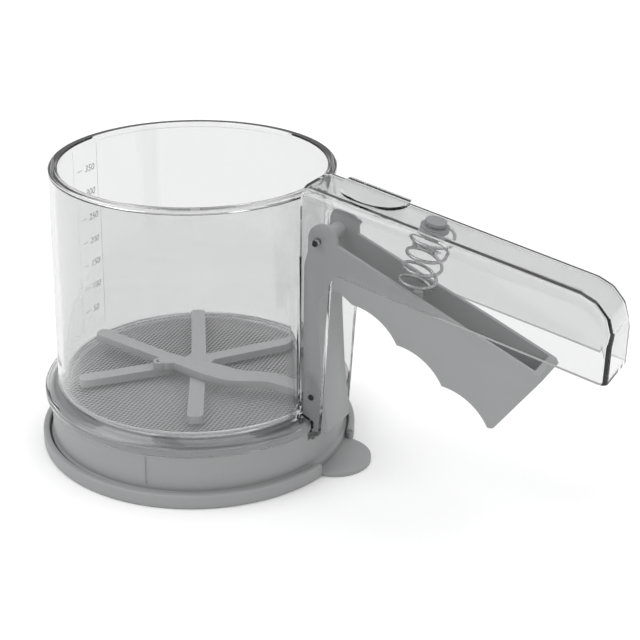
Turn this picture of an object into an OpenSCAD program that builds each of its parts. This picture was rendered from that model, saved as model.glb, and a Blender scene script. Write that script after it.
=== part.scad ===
// Hand-squeezed flour sifter: clear cup and hollow handle in one moulding, a trigger lever
// that pulls a strap, a star-shaped stirrer over a woven screen, and a press-on bottom lid.
// Millimetres. The cup's axis is Z, the underside of the lid is z = 0, the handle runs along +X.

/* [Cup] */
// Height of the rim above the table
cup_h = 111; // [104:0.5:116]
// Outer radius of the wall at the rim
rim_r = 52.6; // [52:0.1:53]
// Outer radius of the wall just above the collar
wall_r = 54.3; // [54:0.1:54.6]
// Thickness of the clear wall
wall_t = 2.3; // [1.8:0.1:2.6]
// Width of the thickened rim
rim_w = 3.3; // [2.6:0.1:4]
// Height of the thickened rim
rim_h = 2.4; // [1.5:0.1:4]

/* [Collar and base ring] */
// Outer radius of the clear collar
collar_r = 59.4; // [59:0.1:60]
// Outer radius of the base ring
ring_r = 57.3; // [57:0.1:57.4]
// Wall thickness of the base ring
ring_t = 2.2; // [1.6:0.1:3]
// Height at which the clear collar ends
collar_z = 19.6; // [19:0.1:20]

/* [Bottom lid] */
// Outer radius of the lid
lid_r = 61.4; // [61:0.1:62]
// Thickness of the lid's floor
lid_t = 1.6; // [1.2:0.1:2]
// Height of the lid's rim
lid_h = 5.4; // [4:0.1:7]
// Radius of the round thumb tab
tab_r = 14.2; // [10:0.1:18]
// How far the tab sits round from the handle, in degrees
tab_turn = 5; // [-10:0.5:10]

/* [Handle] */
// Width of the handle over its sides
handle_w = 23.8; // [23.4:0.1:25]
// Thickness of the handle's walls
handle_t = 2.2; // [1.6:0.1:2.3]
// Fall of the handle below level, in degrees
handle_fall = 10; // [8:0.5:11]
// Distance from the cup's axis to the end of the handle
handle_end = 165; // [160:1:175]
// Vertical depth of the handle's sides
handle_d = 27.5; // [26:0.5:29]
// Radius of the handle's long edges
edge_r = 5; // [3:0.5:6]

/* [Trigger lever] */
// Pin distance from the cup's axis
pin_x = 57.8; // [57.5:0.1:58.5]
// Pin height
pin_z = 94.1; // [93.5:0.1:94.5]
// Radius of the pin
pin_r = 1.2; // [1:0.05:1.5]
// Width of the lever over its side plates
lever_w = 17.2; // [16.6:0.1:17.6]
// Wall thickness of the lever
lever_t = 1.6; // [1.4:0.1:2]
// Pitch of the finger hollows
finger_pitch = 21.1; // [20.5:0.1:21.5]
// Depth of the finger hollows
finger_d = 2.7; // [1.5:0.1:3]

/* [Return spring] */
// Wire diameter
wire_d = 1.2; // [1:0.1:1.4]
// Outer radius of the top coil
coil_top_r = 7.9; // [7:0.1:8.2]
// Outer radius of the bottom coil
coil_bottom_r = 6.7; // [6:0.1:6.8]
// Number of turns
coils = 4; // [3.5:0.5:6]

/* [Screen and stirrer] */
// Height of the top face of the screen
screen_z = 26.1; // [25.9:0.1:26.2]
// Radius to the tips of the stirrer's arms
star_r = 46.8; // [40:0.1:48]
// Width of the stirrer's arms
arm_w = 5.8; // [5:0.1:6.5]
// Thickness of the stirrer and of the pull strap
arm_t = 3; // [2.5:0.1:3]
// Width of the pull strap where it passes the flat wall
strap_w = 7.6; // [6.4:0.1:7.8]

/* [Hidden] */
$fn = 96;

gap = 0.3;
side_y = handle_w / 2;
inner_y = side_y - handle_t;
plate_y = lever_w / 2;
pocket_y = plate_y - lever_t;
fall = tan(handle_fall);
// The handle's back face, where it leaves the cup
back_x = 52;
handle_top_z = cup_h + 2.4;
// Outer face of the flat wall between the cup and the lever's channel
flat_x = 51.9;
flat_t = 1.9;
// Ledge of the base ring that carries the screen, and the rim round it that enters the collar
ledge_z = 20.4;
ring_top = 22.2;
// Notch through collar and ring that lets the lever's arm through
notch_y = side_y + gap;
notch_z = 15.6;
// Channel below the handle
channel_x_top = 63.7;
channel_x_low = 60;
channel_z = 17.4;
fillet_r = 4;

// Height of the handle's top at a distance from the cup's axis
function top_z(x) = handle_top_z - fall * (x - 53);
// Height of the handle's open lower edge
function under_z(x) = top_z(x) - handle_d;

// Round end of the handle, seen from the side
end_r = 15;
end_x = handle_end - end_r;
end_z = top_z(end_x) - end_r / cos(handle_fall);

// Stirrer and strap levels
star_z = screen_z + 1.3;
star_top = star_z + arm_t;
strap_z = star_top + gap;
strap_top = strap_z + arm_t;
strap_y = -4.7;
// Pin at the lever's foot and how far it rises as the lever swings
link_x = 55.6;
link_z = 32.2;
link_r = 1.2;
link_rise = 0.95;
// Drive peg on the stirrer: it stands the same distance either side of the middle of its swing
peg_orbit = 12.3;
peg_r = 1.2;
peg_angle = -122.2;
peg_x = peg_orbit * cos(peg_angle);
peg_y = peg_orbit * sin(peg_angle);

// Spring line from the handle's ceiling to the lever
plug_x = 97.8;
spring_tilt = 16.4;
spring_l = 23;
seat_drop = 0.4;
spring_top_z = top_z(plug_x) - handle_t / cos(handle_fall) - seat_drop;
spring_x = plug_x - spring_l * sin(spring_tilt);
spring_z = spring_top_z - spring_l * cos(spring_tilt);

// Cone that fits the cup's wall, moved in or out from the outer face
module wall_cone(inset, z0, z1) {
    slope = (rim_r - wall_r) / (cup_h - 27);
    translate([0, 0, z0])
        cylinder(h = z1 - z0, r1 = wall_r + slope * (z0 - 27) - inset,
            r2 = wall_r + slope * (z1 - 27) - inset);
}

// Section of the cup, its rim and its collar
module cup_section() {
    inner_r = wall_r - wall_t;
    polygon([
        [inner_r, 26.2],
        [inner_r + 0.7, 24.9],
        [ring_r - 1, 23.6],
        [ring_r + 0.1, ring_top + 0.2],
        [ring_r + 0.1, collar_z],
        [collar_r - 0.6, collar_z],
        [collar_r - 0.6, collar_z + 1.3],
        [collar_r, collar_z + 1.7],
        for (a = [0:15:60]) [collar_r - 1.4 + 1.4 * cos(a), ring_top + 1.1 + 1.4 * sin(a)],
        [wall_r + 1.2, 25.9],
        [wall_r + 0.3, 26.5],
        [wall_r, 27.4],
        [rim_r, cup_h - 0.5],
        [rim_r - 0.5, cup_h],
        [rim_r - rim_w + 0.5, cup_h],
        [rim_r - rim_w, cup_h - 0.5],
        [rim_r - rim_w, cup_h - rim_h + 0.6],
        [rim_r - wall_t, cup_h - rim_h]
    ]);
}

// Outside or inside of the handle, without its open underside cut
module handle_form(r, corner_r, y, x0) {
    hull() {
        for (s = [-1, 1]) {
            for (a = [80, 55, 30, 5])
                translate([end_x + (end_r - edge_r) * cos(a), s * (side_y - edge_r),
                    end_z + (end_r - edge_r) * sin(a)])
                    sphere(r = r, $fn = 32);
            translate([x0, s * (side_y - edge_r), top_z(x0) - edge_r / cos(handle_fall)])
                rotate([0, 90, 0])
                    cylinder(r = r, h = 0.1, $fn = 32);
            translate([handle_end - 3, s * (side_y - 3), end_z - 22])
                cylinder(r = corner_r, h = 20, $fn = 32);
            translate([x0, s * y - 0.05, end_z - 22])
                cube([0.1, 0.1, 30]);
        }
    }
}

// Everything below the handle's open edge, right of the channel
module below_handle() {
    translate([channel_x_top, -50, under_z(channel_x_top)])
        rotate([0, handle_fall, 0])
            translate([-1, 0, -80])
                cube([150, 100, 80]);
}

// Side wall of the lever's channel, seen from the side
module channel_side() {
    corner_z = under_z(channel_x_top);
    difference() {
        polygon([
            [48, channel_z + 2],
            [53, channel_z],
            [channel_x_low - 2, channel_z - 1],
            [channel_x_low, channel_z + 1],
            [channel_x_top, corner_z - fillet_r],
            [channel_x_top + fillet_r, corner_z - fillet_r],
            [channel_x_top + fillet_r, corner_z + 4],
            [48, corner_z + 4]
        ]);
        translate([channel_x_top + fillet_r, corner_z - fillet_r * 1.2])
            circle(r = fillet_r);
    }
}

// D-shaped thumb pad raised on the handle's top
module thumb_pad() {
    pad_r = 12.6;
    pad_h = 1.2;
    translate([53, 0, handle_top_z])
        rotate([0, handle_fall, 0])
            translate([20, 0, -2])
                intersection() {
                    translate([0, 4.6, 0])
                        cylinder(r = pad_r, h = pad_h + 2);
                    translate([-20, -20, 0])
                        cube([40, 28.4, 10]);
                }
}

module clear_body() {
    color([0.86, 0.88, 0.9, 0.45])
        difference() {
            union() {
                rotate_extrude() cup_section();
                intersection() {
                    difference() {
                        handle_form(edge_r, 3, side_y, 44);
                        below_handle();
                        translate([0, -50, -1]) cube([channel_x_top, 100, under_z(channel_x_top) + 1]);
                    }
                    translate([back_x, -50, 0]) cube([200, 100, 200]);
                }
                for (s = [-1, 1])
                    translate([0, s * (side_y - handle_t / 2) + handle_t / 2, 0])
                        rotate([90, 0, 0])
                            linear_extrude(handle_t) channel_side();
                thumb_pad();
            }
            // the room inside the handle and the channel
            intersection() {
                handle_form(edge_r - handle_t, 3 - handle_t, inner_y, 44);
                translate([flat_x, -50, 60]) cube([200, 100, 200]);
            }
            translate([flat_x, -inner_y, 0]) cube([30, 2 * inner_y, 75]);
            // the cup's own room
            difference() {
                union() {
                    wall_cone(wall_t, 26, cup_h - rim_h);
                    translate([0, 0, ring_top]) cylinder(r = wall_r - wall_t, h = 4);
                    translate([0, 0, cup_h - rim_h - 0.1]) cylinder(r = rim_r - rim_w, h = 10);
                }
                translate([flat_x - flat_t, -30, screen_z + 1]) cube([10, 60, cup_h - screen_z]);
            }
            // the channel's walls stop at the flat wall, clear of the base ring and the hoop
            translate([40, -20, channel_z - 2]) cube([flat_x - 40, 40, ring_top - channel_z + 2.2]);
            // pin bore through both walls
            translate([pin_x, 0, pin_z])
                rotate([90, 0, 0])
                    cylinder(r = pin_r + 0.01, h = 60, center = true);
            // hole for the spring plug
            translate([plug_x, 0, top_z(plug_x)])
                rotate([0, handle_fall, 0])
                    cylinder(r = 2.6, h = 20, center = true);
            // slot for the pull strap
            translate([40, strap_y - strap_w / 2 - 0.6, strap_z - 0.5])
                cube([14, strap_w + 1.2, arm_t + 1]);
        }
}

// Plug in the handle's top that centres the spring
module spring_plug() {
    color([0.6, 0.61, 0.62])
        translate([plug_x, 0, top_z(plug_x)])
            rotate([0, handle_fall, 0]) {
                translate([0, 0, 0]) cylinder(r = 3.8, h = 1.1);
                translate([0, 0, -handle_t - 3.2]) cylinder(r = 2.6, h = handle_t + 3.4);
                translate([0, 0, -handle_t - 1.5]) cylinder(r = 5, h = 1.5);
            }
}

module lever_pin() {
    color([0.35, 0.35, 0.36])
        translate([pin_x, 0, pin_z])
            rotate([90, 0, 0])
                cylinder(r = pin_r, h = 2 * side_y - 0.6, center = true);
}

// Line of the finger hollows: start point, direction and outward normal
grip_start = [71.2, 72.7];
grip_angle = 32.6;
grip_dir = [cos(grip_angle), -sin(grip_angle)];
grip_out = [-sin(grip_angle), -cos(grip_angle)];
hollow_r = (finger_pitch * finger_pitch / 4 + finger_d * finger_d) / (2 * finger_d);
// Round inner corner between trigger and arm
corner = [64.3, 70.2];
corner_r = 6;

// Circles that press the finger hollows into the trigger's underside, clear of the arm
module finger_hollows(extra) {
    intersection() {
        translate([grip_start[0] - 3, 0]) square(100);
        for (i = [0:2])
            translate(grip_start + grip_dir * finger_pitch * (i + 0.5) + grip_out * (hollow_r - finger_d))
                circle(r = hollow_r + extra);
    }
}

// Side view of the whole lever
module lever_side() {
    tip = [125.5, 40.5];
    difference() {
        polygon([
            [52.3, 18.6],
            [52.3, 84],
            [53.8, 90],
            [53.8, 94.9],
            [59.4, 97],
            [65, 94.9],
            [65, 93.8],
            [141.5, 62.8],
            [142.5, 61],
            for (a = [-36:-30:-96]) tip + 1.9 * [cos(a), sin(a)],
            grip_start + grip_dir * (finger_pitch * 3 - 0.1),
            grip_start,
            for (a = [60:15:180]) corner + corner_r * [cos(a), sin(a)],
            [58.3, 64],
            [60, 37],
            [62.4, 20],
            [61.8, 18.6]
        ]);
        finger_hollows(0);
    }
    translate([59.4, 94.9]) circle(r = 5.6);
}

// Room between the lever's side plates: down the trigger and down the arm, open to the cup
module lever_room() {
    inset = grip_out * -lever_t;
    difference() {
        polygon([
            [50, 10],
            [60.3, 10],
            [60.5, 20],
            [58.2, 37],
            [56.5, 64],
            for (a = [180:-20:60]) corner + (corner_r + 1.8) * [cos(a), sin(a)],
            grip_start + inset,
            grip_start + grip_dir * finger_pitch * 2.95 + inset,
            [125.4, 42.4],
            [139.4, 62.4],
            [139.4, 72],
            [72, 102],
            [50, 102]
        ]);
        finger_hollows(lever_t);
    }
}

// Square top of the far side plate
module far_ear() {
    polygon([
        [54.1, 92],
        [54.1, 98.2],
        [54.9, 99.8],
        [56.5, 100.4],
        [65.4, 97.4],
        [65.4, 92]
    ]);
}

// Post on the trough's floor and the two ledges the spring's foot rests on
module spring_seat() {
    translate([spring_x + 1.5, 0, 40]) cylinder(r = 1.75, h = spring_z - 41);
    translate([spring_x, 0, spring_z])
        rotate([0, spring_tilt, 0])
            for (s = [-1, 1])
                translate([-3, s * 7 - 1.8, -2]) cube([6, 3.6, 2]);
}

module trigger_lever() {
    color([0.6, 0.61, 0.62])
        difference() {
            union() {
                difference() {
                    rotate([90, 0, 0])
                        linear_extrude(lever_w, center = true) lever_side();
                    difference() {
                        rotate([90, 0, 0])
                            linear_extrude(2 * pocket_y, center = true) lever_room();
                        spring_seat();
                    }
                }
                translate([0, plate_y, 0])
                    rotate([90, 0, 0])
                        linear_extrude(lever_t) far_ear();
                // tube round the pin
                translate([pin_x, 0, pin_z])
                    rotate([90, 0, 0])
                        cylinder(r = 3, h = 2 * pocket_y + 1, center = true);
            }
            translate([pin_x, 0, pin_z])
                rotate([90, 0, 0])
                    cylinder(r = pin_r + 0.05, h = 40, center = true);
            // bore for the pin that carries the strap
            translate([link_x, 0, link_z])
                rotate([90, 0, 0])
                    cylinder(r = link_r, h = 40, center = true);
        }
}

// Pin across the lever's foot, pressed into its side plates
module link_pin() {
    color([0.35, 0.35, 0.36])
        translate([link_x, 0, link_z])
            rotate([90, 0, 0])
                cylinder(r = link_r, h = lever_w, center = true);
}

// Points round the wire at one station of the coil
function coil_ring(r, turn, z) = [for (i = [0:7])
    let (a = 45 * i, d = r + wire_d / 2 * cos(a))
        [d * cos(turn), d * sin(turn), z + wire_d / 2 * sin(a)]];

// Barrel of the wire from the bottom coil to the top coil
module return_spring() {
    steps = coils * 24;
    low = wire_d / 2;
    rise = spring_l - wire_d - 1.5;
    rings = [for (i = [0:steps])
        let (t = i / steps, m = coil_bottom_r + (coil_top_r - coil_bottom_r) * t - wire_d / 2)
            coil_ring(m, 360 * coils * t, low + rise * (t * t * (3 - 2 * t) * 0.5 + t * 0.5))];
    points = [for (ring = rings, p = ring) p];
    last = len(rings) - 1;
    faces = [
        [for (i = [0:7]) i],
        [for (i = [7:-1:0]) last * 8 + i],
        for (k = [0:last - 1], i = [0:7])
            let (a = k * 8 + i, b = k * 8 + (i + 1) % 8)
                [a, a + 8, b + 8, b]
    ];
    color([0.75, 0.75, 0.77])
        translate([spring_x, 0, spring_z])
            rotate([0, spring_tilt, 0])
                translate([0, 0, 0.05])
                    polyhedron(points = points, faces = faces);
}

// Far and near edges of the strap, from its tip to the flat wall
far_edge = [[-44.9, -3], [-43.6, -2], [-41.8, -1.8], [-32.2, -3.2], [-23.3, -4.6], [-14.2, -5.9], [-7.5, -6.7],
    [0, -6.6], [6, -6.1], [11, -5.4], [16, -5.3], [20, -5.5], [23, -5.3], [26, -4.3], [29, -2.9], [32, -1.8]];
near_edge = [[-45.5, -5], [-45, -6.8], [-43.8, -7.7], [-32.6, -9.3], [-21.1, -10.7], [-10.1, -12], [-1.4, -13.2],
    [4.7, -14.2], [12, -15.1], [18, -15.4], [22.5, -15.1], [25.5, -14.1], [29, -12.2], [32.5, -10.3]];
strap_end = flat_x;
strap_far = strap_y + strap_w / 2;
strap_near = strap_y - strap_w / 2;
eye_near = -6.6;

// Upright slot that lets the pin rise inside the strap's eye
module link_slot(r) {
    translate([link_x, link_z]) circle(r = r);
    translate([link_x, link_z + link_rise]) circle(r = r);
    translate([link_x - r, link_z]) square([2 * r, link_rise]);
}

// Flat strap that the lever pulls; its blind slot rides on the stirrer's peg
module pull_strap() {
    slot_y = (peg_y - peg_orbit) / 2;
    slot_l = peg_orbit + peg_y + 2 * peg_r + 0.6;
    eye_w = strap_far - eye_near;
    color([0.62, 0.63, 0.64])
        difference() {
            union() {
                translate([0, 0, strap_z])
                    linear_extrude(arm_t)
                        polygon([
                            for (p = far_edge) p,
                            [36.2, strap_far],
                            [link_x, strap_far],
                            [link_x, eye_near],
                            [strap_end, eye_near],
                            [strap_end, strap_near],
                            [36.2, strap_near],
                            for (i = [len(near_edge) - 1:-1:0]) near_edge[i]
                        ]);
                translate([peg_x, slot_y, strap_z]) cylinder(r = 3.8, h = arm_t);
                // upright eye round the lever's pin
                translate([0, strap_far, 0])
                    rotate([90, 0, 0])
                        linear_extrude(eye_w) link_slot(2.7);
                // small curled lug on the front edge
                translate([-8.3, -14.2, strap_z])
                    difference() {
                        cylinder(r = 2.5, h = arm_t);
                        translate([0, 0, -1]) cylinder(r = 1.4, h = 6);
                    }
            }
            translate([peg_x - peg_r - 0.25, slot_y - slot_l / 2, strap_z - 1])
                cube([2 * peg_r + 0.5, slot_l, arm_t - 1.2 + 1]);
            translate([0, strap_far + 5, 0])
                rotate([90, 0, 0])
                    linear_extrude(20) link_slot(link_r + 0.3);
        }
}

// One straight arm from the hub's edge, with a blunt round tip
module star_arm(angle) {
    half = arm_w / 2;
    tip_r = 1.9;
    root = 4.8;
    rotate([0, 0, angle])
        translate([0, 0, star_z])
            linear_extrude(arm_t)
                polygon([
                    [root, -half],
                    for (a = [-90:15:0]) [star_r - tip_r + tip_r * cos(a), tip_r - half + tip_r * sin(a)],
                    for (a = [0:15:90]) [star_r - tip_r + tip_r * cos(a), half - tip_r + tip_r * sin(a)],
                    [root, half]
                ]);
}

module stirrer_star() {
    color([0.62, 0.63, 0.64])
        difference() {
            union() {
                for (angle = [56, 124, -129, -58]) star_arm(angle);
                translate([0, 0, star_z]) cylinder(r = 5.7, h = arm_t);
                translate([peg_x, peg_y, star_top - 0.5]) cylinder(r = peg_r, h = 2.2);
            }
            translate([0, 0, star_z - 1]) cylinder(r = 1.5, h = arm_t);
        }
}

// Screw from below that holds the stirrer down and turns with it
module hub_screw() {
    color([0.72, 0.72, 0.74])
        difference() {
            union() {
                translate([0, 0, 22.2]) cylinder(r = 3.2, h = 1.8);
                translate([0, 0, 23.8]) cylinder(r = 1.49, h = star_top - 24.9);
            }
            // cross recess in the head
            for (a = [0, 90])
                rotate([0, 0, a]) translate([-1.8, -0.35, 22]) cube([3.6, 0.7, 1.1]);
        }
}

module flat_washer(r, bore, z, h) {
    difference() {
        translate([0, 0, z]) cylinder(r = r, h = h);
        translate([0, 0, z - 1]) cylinder(r = bore, h = h + 2);
    }
}

module screw_washer() {
    color([0.78, 0.78, 0.8]) flat_washer(4, 1.6, 24.05, 0.6);
}

module thrust_washer() {
    color([0.9, 0.9, 0.88]) flat_washer(4.6, 1.6, screen_z + 0.45, 0.6);
}

// Eyelet pressed through the screen as the stirrer's bearing
module screen_eyelet() {
    color([0.78, 0.78, 0.8])
        difference() {
            union() {
                translate([0, 0, screen_z - 1.3]) cylinder(r = 2.4, h = 1.7);
                translate([0, 0, screen_z - 1.3]) cylinder(r = 4.4, h = 0.5);
                translate([0, 0, screen_z]) cylinder(r = 4.4, h = 0.4);
            }
            translate([0, 0, screen_z - 2]) cylinder(r = 1.55, h = 4);
        }
}

module screen_mesh() {
    color([0.55, 0.55, 0.57]) flat_washer(51, 2.45, screen_z - 0.6, 0.6);
}

// Steel hoop that the screen is stretched over
module screen_hoop() {
    color([0.8, 0.8, 0.82])
        rotate_extrude()
            polygon([
                [51.05, ledge_z],
                [51.7, ledge_z],
                [51.7, screen_z + 0.5],
                [51.05, screen_z + 0.5]
            ]);
}

// Inner steel ring that clamps the screen's edge in the hoop
module screen_clamp_ring() {
    color([0.74, 0.74, 0.76])
        rotate_extrude()
            polygon([
                [50.3, ledge_z],
                [51, ledge_z],
                [51, screen_z - 0.65],
                [49.4, screen_z - 0.65],
                [49.4, screen_z - 1.25],
                [50.3, screen_z - 1.25]
            ]);
}

module base_ring() {
    inner_r = ring_r - ring_t;
    color([0.6, 0.61, 0.62])
        difference() {
            rotate_extrude()
                polygon([
                    [inner_r, lid_t],
                    [ring_r + 0.9, lid_t],
                    [ring_r + 0.9, lid_t + 2.6],
                    [ring_r, lid_t + 3.4],
                    [ring_r, ring_top],
                    [ring_r - 1.5, ring_top],
                    [ring_r - 1.5, ledge_z],
                    [49.6, ledge_z],
                    [49.6, ledge_z - 1.8],
                    [inner_r, ledge_z - 3.4]
                ]);
            // room for the lever and the channel's walls
            translate([flat_x - 0.1, -notch_y, notch_z]) cube([20, 2 * notch_y, 20]);
            // upright seam at the front
            rotate([0, 0, -76]) translate([ring_r - 0.3, -0.4, 7]) cube([2, 0.8, 11]);
        }
}

// Shallow lid with a gap in its rim where the thumb tab lies
module bottom_lid() {
    rim_in = lid_r - 2.4;
    gap_angle = 14;
    color([0.6, 0.61, 0.62])
        rotate([0, 0, tab_turn]) {
            cylinder(r = lid_r - 1, h = lid_t);
            translate([58.1, 0, 0]) cylinder(r = tab_r, h = lid_t);
            difference() {
                rotate_extrude()
                    polygon([
                        [rim_in, 0],
                        [lid_r - 0.5, 0],
                        [lid_r, 0.5],
                        [lid_r, lid_h - 1],
                        for (a = [0:30:90]) [lid_r - 0.8 + 0.8 * cos(a), lid_h - 0.8 + 0.8 * sin(a)],
                        [rim_in + 0.3, lid_h],
                        [rim_in, lid_h - 0.4]
                    ]);
                translate([0, 0, -1])
                    linear_extrude(20)
                        polygon([
                            [0, 0],
                            [80, -80 * tan(gap_angle)],
                            [80, 80 * tan(gap_angle)]
                        ]);
            }
            // round ends of the rim
            for (s = [-1, 1])
                rotate([0, 0, s * gap_angle])
                    translate([lid_r - 1.2, 0, 0.6]) cylinder(r = 1.1, h = lid_h - 1.8);
        }
}

clear_body();
spring_plug();
lever_pin();
trigger_lever();
link_pin();
return_spring();
pull_strap();
stirrer_star();
hub_screw();
screw_washer();
thrust_washer();
screen_eyelet();
screen_mesh();
screen_hoop();
screen_clamp_ring();
base_ring();
bottom_lid();
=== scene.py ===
import math

import bpy
from mathutils import Matrix, Vector


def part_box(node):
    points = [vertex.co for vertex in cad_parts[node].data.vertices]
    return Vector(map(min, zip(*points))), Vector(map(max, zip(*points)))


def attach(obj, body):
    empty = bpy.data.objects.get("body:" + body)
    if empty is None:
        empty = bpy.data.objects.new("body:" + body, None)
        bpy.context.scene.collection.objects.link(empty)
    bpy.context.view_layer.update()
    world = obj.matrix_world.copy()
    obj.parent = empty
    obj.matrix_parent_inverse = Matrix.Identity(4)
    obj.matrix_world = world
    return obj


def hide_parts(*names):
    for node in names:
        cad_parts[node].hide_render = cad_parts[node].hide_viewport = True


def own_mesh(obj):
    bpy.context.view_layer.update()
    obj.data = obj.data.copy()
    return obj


# Flour sifter: clear cup and handle, grey trigger and stirrer, woven steel screen.
# Metres, Z up, the cup's axis on Z and the handle along +X.

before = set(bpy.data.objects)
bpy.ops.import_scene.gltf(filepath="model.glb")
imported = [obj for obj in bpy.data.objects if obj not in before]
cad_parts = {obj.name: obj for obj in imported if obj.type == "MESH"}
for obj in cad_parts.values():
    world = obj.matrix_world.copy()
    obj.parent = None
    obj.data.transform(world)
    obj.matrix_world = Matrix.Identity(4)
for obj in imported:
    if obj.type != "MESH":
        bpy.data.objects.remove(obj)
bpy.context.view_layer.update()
mm = 0.001
print("frame loaded:", len(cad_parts), "nodes")


# one shader socket, with arithmetic
class Wire:
    def __init__(self, tree, socket=None):
        self.tree = tree
        self.socket = socket

    def node(self, kind, settings=None, inputs=None, output=0):
        made = self.tree.nodes.new("ShaderNode" + kind)
        for key, value in (settings or {}).items():
            setattr(made, key, value)
        for key, value in (inputs or {}).items():
            if isinstance(value, Wire):
                self.tree.links.new(value.socket, made.inputs[key])
            else:
                made.inputs[key].default_value = value
        return Wire(self.tree, made.outputs[output])

    def maths(self, operation, first, second):
        return self.node("Math", {"operation": operation}, {0: first, 1: second})

    def __add__(self, other):
        return self.maths("ADD", self, other)

    def __radd__(self, other):
        return self.maths("ADD", other, self)

    def __sub__(self, other):
        return self.maths("SUBTRACT", self, other)

    def __rsub__(self, other):
        return self.maths("SUBTRACT", other, self)

    def __mul__(self, other):
        return self.maths("MULTIPLY", self, other)

    def __rmul__(self, other):
        return self.maths("MULTIPLY", other, self)


def newMaterial(name):
    material = bpy.data.materials.new(name)
    material.use_nodes = True
    material.node_tree.nodes.clear()
    return material, Wire(material.node_tree)


def places(root, stretch=(1, 1, 1)):
    # the object's own metres, stretched where a grain runs one way
    spot = root.node("TexCoord", output="Object")
    return root.node("Mapping", None, {"Vector": spot, "Scale": stretch})


def noise(root, spot, scale, detail=3.0, rough=0.5):
    inputs = {"Vector": spot, "Scale": scale, "Detail": detail, "Roughness": rough}
    return root.node("TexNoise", None, inputs, "Fac")


def blendColours(root, factor, dark, light):
    inputs = {0: factor, 6: (*dark, 1), 7: (*light, 1)}
    return root.node("Mix", {"data_type": "RGBA"}, inputs, 2)


def bumped(root, strength, depth, height):
    return root.node("Bump", None, {"Strength": strength, "Distance": depth, "Height": height})


def output(root, surface):
    last = root.tree.nodes.new("ShaderNodeOutputMaterial")
    root.tree.links.new(surface.socket, last.inputs["Surface"])


# noise scales are per metre, and bumps are a strength and a depth in metres
clearLook = {
    "tint": (0.78, 0.782, 0.784),
    "shade": (0.755, 0.757, 0.759),
    "ior": 1.49,
    "roughness": (0.01, 0.02),  # the least, and what the clouds add
    "shadow": (0.93, 0.932, 0.934, 1),  # what the plastic lets through to the floor
    "cloud": 28,
    "ripple": 60,
    "bump": (0.02, 0.0004),
}


def clearPlastic(name, look):
    material, root = newMaterial(name)
    spot = places(root)
    cloud = noise(root, spot, look["cloud"], 2)
    ripple = noise(root, spot, look["ripple"], 1)
    least, spread = look["roughness"]
    inputs = {
        "Base Color": blendColours(root, cloud, look["shade"], look["tint"]),
        "Roughness": least + spread * cloud,
        "Transmission Weight": 1.0,
        "IOR": look["ior"],
        "Normal": bumped(root, *look["bump"], ripple),
    }
    glass = root.node("BsdfPrincipled", None, inputs)
    through = root.node("BsdfTransparent", None, {"Color": look["shadow"]})
    shadowRay = root.node("LightPath", output="Is Shadow Ray")
    softRay = root.node("LightPath", output="Is Diffuse Ray")
    letThrough = root.maths("MAXIMUM", shadowRay, softRay)
    output(root, root.node("MixShader", None, {0: letThrough, 1: glass, 2: through}))
    return material


# moulded plastic: cloudy colour, fine spark-eroded grain, faint flow streaks
mouldedLook = {
    "cloud": 45,
    "fine": 2200,
    "streak": 30,
    "flow": (1, 1, 6),  # how the streaks are stretched
    "share": (0.7, 0.3),  # of clouds and of streaks in the colour
    "spread": (0.12, 0.05),  # roughness from the clouds and from the grain
    "ior": 1.5,
    "bump": (0.12, 0.00012),
}


def moulded(name, dark, light, roughness):
    material, root = newMaterial(name)
    spot = places(root)
    cloud = noise(root, spot, mouldedLook["cloud"], 4)
    fine = noise(root, spot, mouldedLook["fine"], 2)
    streak = noise(root, places(root, mouldedLook["flow"]), mouldedLook["streak"], 3)
    cloudShare, streakShare = mouldedLook["share"]
    cloudSpread, fineSpread = mouldedLook["spread"]
    shade = cloudShare * cloud + streakShare * streak
    inputs = {
        "Base Color": blendColours(root, shade, dark, light),
        "Roughness": roughness + cloudSpread * cloud - cloudSpread / 2 + fineSpread * fine,
        "IOR": mouldedLook["ior"],
        "Normal": bumped(root, *mouldedLook["bump"], fine),
    }
    output(root, root.node("BsdfPrincipled", None, inputs))
    return material


# drawn or rolled steel: streaks along the way it was worked
steelLook = {
    "cloud": 90,
    "dark": (0.8, 0.8, 0.815),  # parts of the level
    "light": (1, 1, 1.01),
    "spread": (0.16, 0.08),  # roughness from the streaks and from the clouds
    "middle": 0.1,  # roughness taken off again, near the mean of the two
    "depth": 0.00005,
}


def steel(name, level, roughness, stretch=(1, 1, 1), scale=600, bump=0.1, metal=1.0):
    material, root = newMaterial(name)
    streak = noise(root, places(root, stretch), scale, 4)
    cloud = noise(root, places(root), steelLook["cloud"], 2)
    dark = [level * part for part in steelLook["dark"]]
    light = [level * part for part in steelLook["light"]]
    streakSpread, cloudSpread = steelLook["spread"]
    inputs = {
        "Base Color": blendColours(root, streak, dark, light),
        "Metallic": metal,
        "Roughness": roughness + streakSpread * streak + cloudSpread * cloud - steelLook["middle"],
        "Normal": bumped(root, bump, steelLook["depth"], streak),
    }
    output(root, root.node("BsdfPrincipled", None, inputs))
    return material


finishes = {
    "clear": clearPlastic("ClearStyrene", clearLook),
    "grey": moulded("GreyMoulded", (0.295, 0.298, 0.302), (0.328, 0.331, 0.335), 0.46),
    "plug": moulded("PlugMoulded", (0.2, 0.203, 0.207), (0.24, 0.243, 0.247), 0.46),
    "stirrer": moulded("StirrerMoulded", (0.365, 0.368, 0.372), (0.405, 0.408, 0.412), 0.5),
    "nylon": moulded("WasherNylon", (0.7, 0.7, 0.68), (0.78, 0.78, 0.76), 0.4),
    "pin": steel("DarkPin", 0.05, 0.45, (40, 1, 1)),
    "spring": steel("SpringWire", 0.55, 0.24, scale=900),
    "bright": steel("BrightHoop", 0.92, 0.2, (1, 1, 60), 300, 0.05),
    "screen": steel("ScreenWire", 0.95, 0.3, scale=1400, metal=0.45),
    "screw": steel("ScrewSteel", 0.6, 0.3, (1, 1, 8), 500),
}

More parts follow.
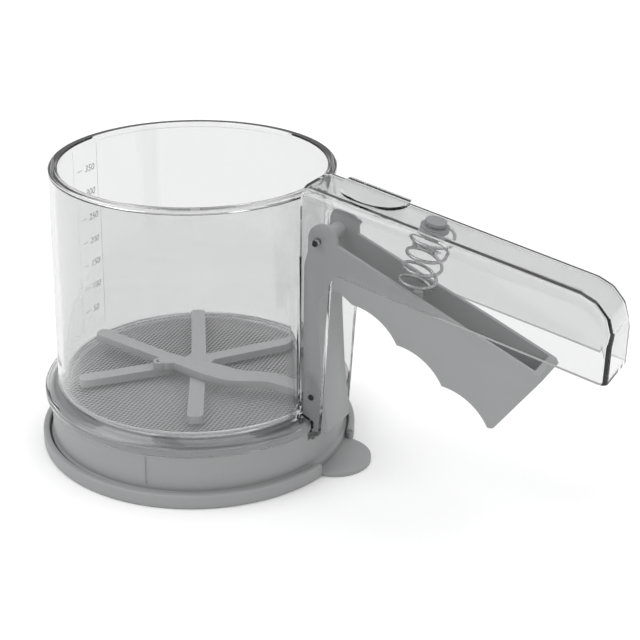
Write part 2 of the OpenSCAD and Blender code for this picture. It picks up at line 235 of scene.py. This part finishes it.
inkLook = {
    "dark": (0.2, 0.2, 0.205),
    "light": (0.27, 0.27, 0.275),
    "roughness": (0.5, 0.2),  # the least, and what the clouds add
    "cloud": 900,
}


def inkFinish(look):
    material, root = newMaterial("ScaleInk")
    cloud = noise(root, places(root), look["cloud"], 2)
    least, spread = look["roughness"]
    inputs = {
        "Base Color": blendColours(root, cloud, look["dark"], look["light"]),
        "Roughness": least + spread * cloud,
    }
    output(root, root.node("BsdfPrincipled", None, inputs))
    return material


finishes["ink"] = inkFinish(inkLook)
print("finishes made")


# CAD nodes that stay: finish, and how far their edges are rounded in mm
nodeFinish = {
    "clear_body": ("clear", 0),
    "spring_plug": ("plug", 0.3),
    "lever_pin": ("pin", 0.2),
    "link_pin": ("pin", 0.1),
    "trigger_lever": ("grey", 0.35),
    "pull_strap": ("stirrer", 0.45),
    "stirrer_star": ("stirrer", 0.6),
    "hub_screw": ("screw", 0),
    "screw_washer": ("screw", 0.1),
    "thrust_washer": ("nylon", 0.1),
    "screen_eyelet": ("bright", 0),
    "screen_hoop": ("bright", 0.15),
    "screen_clamp_ring": ("screw", 0.1),
    "base_ring": ("grey", 0.3),
    "bottom_lid": ("grey", 0.35),
}

# how the CAD nodes' facets are made to read as smooth faces with soft edges
softening = {
    "weld": 0.000004,  # corners closer than this are one, m
    "bevelAngle": 38,  # degrees, edges sharper than this are rounded
    "segments": 2,
    "creaseAngle": 32,  # degrees, edges sharper than this stay crisp
}

for nodeName, (finish, edge) in nodeFinish.items():
    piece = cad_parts[nodeName]
    piece.data.materials.clear()
    piece.data.materials.append(finishes[finish])
    for face in piece.data.polygons:
        face.use_smooth = True
    weld = piece.modifiers.new("weld", "WELD")
    weld.merge_threshold = softening["weld"]
    if edge:
        bevel = piece.modifiers.new("edge", "BEVEL")
        bevel.width = edge * mm
        bevel.segments = softening["segments"]
        bevel.limit_method = "ANGLE"
        bevel.angle_limit = math.radians(softening["bevelAngle"])
        bevel.use_clamp_overlap = True
    split = piece.modifiers.new("creases", "EDGE_SPLIT")
    split.split_angle = math.radians(softening["creaseAngle"])
print("CAD nodes finished")


def pieceFromMesh(name, vertices, faces, finish, body, smooth=True):
    mesh = bpy.data.meshes.new(name)
    mesh.from_pydata(vertices, [], faces)
    mesh.update()
    mesh.materials.append(finish)
    for face in mesh.polygons:
        face.use_smooth = smooth
    piece = bpy.data.objects.new(name, mesh)
    bpy.context.scene.collection.objects.link(piece)
    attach(piece, body)
    return piece


# woven screen: every wire goes over one crossing and under the next
weave = {
    "pitch": 1.52,  # mm between wires
    "wire": (0.1, 0.17),  # radius of the cross wires and of the long wires, mm
    "level": (-0.1, 0.1),  # how the two sets of wires lie, mm
    "wave": 0.1,  # how far a wire rises and falls, mm
    "turn": 8.0,  # degrees, how the cloth lies in its hoop
    "edge": 0.15,  # how far the wires stop short of the cloth's edge, mm
    "eyelet": 3.2,  # radius left open for the eyelet, mm
}


def weaveScreen(low, high):
    radius = (high.x - low.x) / 2 / mm - weave["edge"]
    middle = (low.z + high.z) / 2 / mm
    pitch = weave["pitch"]
    count = int(radius / pitch)
    turn = math.radians(weave["turn"])
    vertices = []
    faces = []
    for family in (0, 1):
        for j in range(-count, count + 1):
            reach = math.sqrt(max(0.0, radius * radius - (j * pitch) ** 2))
            steps = int(reach / pitch)
            if steps < 2:
                continue
            spots = [(i * pitch, (i + j) % 2) for i in range(-steps, steps + 1)]
            spots = [(-reach, spots[0][1])] + spots + [(reach, spots[-1][1])]
            previous = None
            for along, up in spots:
                if math.hypot(along, j * pitch) < weave["eyelet"]:
                    previous = None
                    continue
                side = 1 if (up == 0) == (family == 0) else -1
                rise = weave["level"][family] + weave["wave"] * side
                first = len(vertices)
                for out, lift in ((1, 0), (0, 1), (-1, 0), (0, -1)):
                    across = j * pitch + out * weave["wire"][family]
                    x, y = (along, across) if family == 0 else (across, along)
                    z = middle + rise + lift * weave["wire"][family]
                    xTurned = x * math.cos(turn) - y * math.sin(turn)
                    yTurned = x * math.sin(turn) + y * math.cos(turn)
                    vertices.append((xTurned * mm, yTurned * mm, z * mm))
                if previous is not None:
                    for k in range(4):
                        n = (k + 1) % 4
                        faces.append((previous + k, previous + n, first + n, first + k))
                previous = first
    return vertices, faces


meshLow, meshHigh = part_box("screen_mesh")
wires, wireFaces = weaveScreen(meshLow, meshHigh)
screen = pieceFromMesh("woven_screen", wires, wireFaces, finishes["screen"], "housing")
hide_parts("screen_mesh")
print("screen woven:", len(wireFaces), "faces")


# return spring, a barrel of wire with flat end turns
springShape = {
    "wire": 0.6,  # radius, mm
    "top": 7.8,  # outer radius of the top turn, mm
    "bottom": 6.7,  # outer radius of the bottom turn, mm
    "turns": 4.2,
    "tilt": 16.4,  # degrees
    "length": 22.4,  # mm
    "foot": (91.31, 0.0, 80.86),  # mm
    "flat": 0.3,  # turns that lie flat at each end
    "rise": (0.035, 0.93, 0.035),  # parts of the length: foot turn, climb, top turn
    "start": 0.6,  # where the wire begins round the axis, radians
    "stepsPerTurn": 40,
    "sides": 12,
    "nudge": 0.002,  # part of the wire looked along for its direction
    "keep": 0.63,  # length left when the trigger is fully squeezed
}


def coilSpring(shape):
    sides = shape["sides"]
    steps = int(shape["turns"] * shape["stepsPerTurn"])
    tilt = math.radians(shape["tilt"])
    turned = Matrix.Rotation(tilt, 4, "Y")
    foot = Vector(shape["foot"])
    wire = shape["wire"]
    run = shape["length"] - 2 * wire
    lowRise, climbRise, highRise = shape["rise"]
    nudge = shape["nudge"]

    def middleLine(t):
        turn = t * shape["turns"]
        flat = shape["flat"]
        climb = min(1.0, max(0.0, (turn - flat) / (shape["turns"] - 2 * flat)))
        low = lowRise * min(turn, flat) / flat
        high = highRise * max(0.0, turn - shape["turns"] + flat) / flat
        height = (low + climbRise * climb + high) * run + wire
        radius = shape["bottom"] + (shape["top"] - shape["bottom"]) * t - wire
        angle = 2 * math.pi * turn + shape["start"]
        return Vector((radius * math.cos(angle), radius * math.sin(angle), height))

    vertices = []
    faces = []
    for i in range(steps + 1):
        t = i / steps
        here = middleLine(t)
        ahead = (middleLine(min(1, t + nudge)) - middleLine(max(0, t - nudge))).normalized()
        outward = Vector((here.x, here.y, 0)).normalized()
        upward = ahead.cross(outward).normalized()
        outward = upward.cross(ahead)
        for k in range(sides):
            a = 2 * math.pi * k / sides
            spot = here + wire * (math.cos(a) * outward + math.sin(a) * upward)
            vertices.append((turned @ spot + foot) * mm)
    for i in range(steps):
        for k in range(sides):
            n = (k + 1) % sides
            a = i * sides
            b = a + sides
            faces.append((a + k, a + n, b + n, b + k))
    faces.append(tuple(range(sides)))
    faces.append(tuple(steps * sides + k for k in reversed(range(sides))))
    return vertices, faces, turned


springVertices, springFaces, springTurn = coilSpring(springShape)
spring = pieceFromMesh("coil_spring", springVertices, springFaces, finishes["spring"], "housing")
springAxis = springTurn @ Vector((0, 0, 1))
springTop = (Vector(springShape["foot"]) + springShape["length"] * springAxis) * mm
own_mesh(spring)
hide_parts("return_spring")
print("spring coiled")


# flour scale printed on the far wall, read through the cup
scale = {
    # figure, and how high its tick stands, mm
    "marks": [
        (50, 39.3), (100, 49.3), (150, 59.1), (200, 68.8),
        (250, 78.8), (300, 88.6), (350, 98.4),
    ],
    "wallLow": (27.0, 54.3),  # height and outer radius of the cup's wall, mm
    "wallHigh": (111.0, 52.6),
    "tick": (-3.9, -0.5),  # mm along the wall
    "line": 0.22,  # stroke of ticks and borders, mm
    "digits": 3.7,  # size of the figures, mm
    "digitsFrom": 1.2,  # mm along the wall
    "lean": 0.18,  # slope of the figures
    "middle": 0.36,  # half the figures' height, part of their size
    "borders": (-6.6, 8.4),  # mm along the wall
    "borderSpan": (31.0, 107.5),  # from and to this height, mm
    "borderThin": 0.6,  # part of the ticks' stroke
    "proud": 0.03,  # mm off the wall
    "step": 1.2,  # a stroke bends with the wall at least this often, mm
}


def onWall(along, height):
    (z0, r0), (z1, r1) = scale["wallLow"], scale["wallHigh"]
    radius = r0 + (r1 - r0) * (height - z0) / (z1 - z0) + scale["proud"]
    angle = math.pi - along / radius
    return Vector((radius * math.cos(angle), radius * math.sin(angle), height)) * mm


def addStroke(vertices, faces, a0, a1, z0, z1):
    pieces = max(1, int(max(a1 - a0, z1 - z0) / scale["step"]))
    upright = z1 - z0 > a1 - a0
    first = len(vertices)
    for i in range(pieces + 1):
        t = i / pieces
        if upright:
            height = z0 + (z1 - z0) * t
            vertices += [onWall(a0, height), onWall(a1, height)]
        else:
            along = a0 + (a1 - a0) * t
            vertices += [onWall(along, z0), onWall(along, z1)]
    for i in range(pieces):
        k = first + 2 * i
        faces.append((k, k + 1, k + 3, k + 2))


def printScale():
    vertices = []
    faces = []
    half = scale["line"] / 2
    for figure, height in scale["marks"]:
        addStroke(vertices, faces, *scale["tick"], height - half, height + half)
        font = bpy.data.curves.new("figure", "FONT")
        font.body = str(figure)
        font.size = 1.0
        font.resolution_u = 3
        holder = bpy.data.objects.new("figure", font)
        bpy.context.scene.collection.objects.link(holder)
        bpy.context.view_layer.update()
        flat = bpy.data.meshes.new_from_object(holder)
        bpy.data.objects.remove(holder)
        first = len(vertices)
        size = scale["digits"]
        for v in flat.vertices:
            along = scale["digitsFrom"] + v.co.x * size + (scale["lean"] * v.co.y * size)
            vertices.append(onWall(along, height + (v.co.y - scale["middle"]) * size))
        faces += [tuple(first + k for k in face.vertices) for face in flat.polygons]
        bpy.data.meshes.remove(flat)
    thin = half * scale["borderThin"]
    for along in scale["borders"]:
        addStroke(vertices, faces, along - thin, along + thin, *scale["borderSpan"])
    return vertices, faces


scaleVertices, scaleFaces = printScale()
pieceFromMesh("flour_scale", scaleVertices, scaleFaces, finishes["ink"], "housing", False)
print("scale printed")


# floor, light and camera
floorLook = {
    "dark": (0.96, 0.96, 0.96),
    "light": (0.975, 0.975, 0.975),
    "cloud": 3,
    "roughness": 0.85,
    "shine": 0.15,
    "reach": 6.0,  # m from the middle to each side
    "drop": 0.00005,  # m below the lid, so that the two faces don't meet
}


def layFloor(look):
    material, root = newMaterial("PaleFloor")
    cloud = noise(root, places(root), look["cloud"], 2)
    inputs = {
        "Base Color": blendColours(root, cloud, look["dark"], look["light"]),
        "Roughness": look["roughness"],
        "Specular IOR Level": look["shine"],
    }
    output(root, root.node("BsdfPrincipled", None, inputs))
    corners = [
        (x * look["reach"], y * look["reach"], -look["drop"])
        for x, y in ((-1, -1), (1, -1), (1, 1), (-1, 1))
    ]
    mesh = bpy.data.meshes.new("floor")
    mesh.from_pydata(corners, [], [(0, 1, 2, 3)])
    mesh.materials.append(material)
    floor = bpy.data.objects.new("floor", mesh)
    bpy.context.scene.collection.objects.link(floor)


layFloor(floorLook)

studio = {
    "world": 0.62,
    "key": {"place": (-1.1, -0.9, 1.9), "aim": (0.05, 0, 0.05), "size": (1.8, 1.8), "power": 22},
    "top": {"place": (0.35, 0.7, 2.1), "aim": (0.05, 0, 0.05), "size": (2.2, 2.2), "power": 20},
    "side": {"place": (1.1, -0.35, 0.55), "aim": (0.05, 0, 0.06), "size": (0.3, 0.9), "power": 1.2},
}

world = bpy.data.worlds.new("studio")
world.use_nodes = True
backdrop = world.node_tree.nodes["Background"]
backdrop.inputs["Color"].default_value = (1, 1, 1, 1)
backdrop.inputs["Strength"].default_value = studio["world"]
bpy.context.scene.world = world


def softbox(name, spec):
    lamp = bpy.data.lights.new(name, "AREA")
    lamp.shape = "RECTANGLE"
    lamp.size, lamp.size_y = spec["size"]
    lamp.energy = spec["power"]
    holder = bpy.data.objects.new(name, lamp)
    holder.location = spec["place"]
    aim = Vector(spec["aim"]) - Vector(spec["place"])
    holder.rotation_mode = "QUATERNION"
    holder.rotation_quaternion = aim.to_track_quat("-Z", "Y")
    bpy.context.scene.collection.objects.link(holder)


for boxName in ("key", "top", "side"):
    softbox(boxName, studio[boxName])

viewpoint = {
    "azimuth": 28.78,  # degrees round from -Y towards +X
    "elevation": 24.72,
    "distance": 0.50497,  # m from the target
    "target": (0.05376, 0.0, 0.05938),
    "roll": 0.76,
    "lens": 77.86,  # mm, on a sensor this wide
    "sensor": 36,
    "near": 0.01,
    "far": 50,
}


def placeCamera(spec):
    azimuth = math.radians(spec["azimuth"])
    elevation = math.radians(spec["elevation"])
    roll = math.radians(spec["roll"])
    flat = math.cos(elevation)
    back = Vector((math.sin(azimuth) * flat, -math.cos(azimuth) * flat, math.sin(elevation)))
    right = Vector((math.cos(azimuth), math.sin(azimuth), 0))
    upward = back.cross(right)
    across = math.cos(roll) * right + math.sin(roll) * upward
    upright = math.cos(roll) * upward - math.sin(roll) * right
    spot = Vector(spec["target"]) + spec["distance"] * back
    data = bpy.data.cameras.new("camera")
    data.lens = spec["lens"]
    data.sensor_width = spec["sensor"]
    data.clip_start = spec["near"]
    data.clip_end = spec["far"]
    camera = bpy.data.objects.new("camera", data)
    axes = Matrix((across, upright, back)).transposed()
    camera.matrix_world = Matrix.Translation(spot) @ axes.to_4x4()
    bpy.context.scene.collection.objects.link(camera)
    return camera


bpy.context.scene.camera = placeCamera(viewpoint)
bpy.context.scene.view_settings.view_transform = "Standard"
print("studio set")
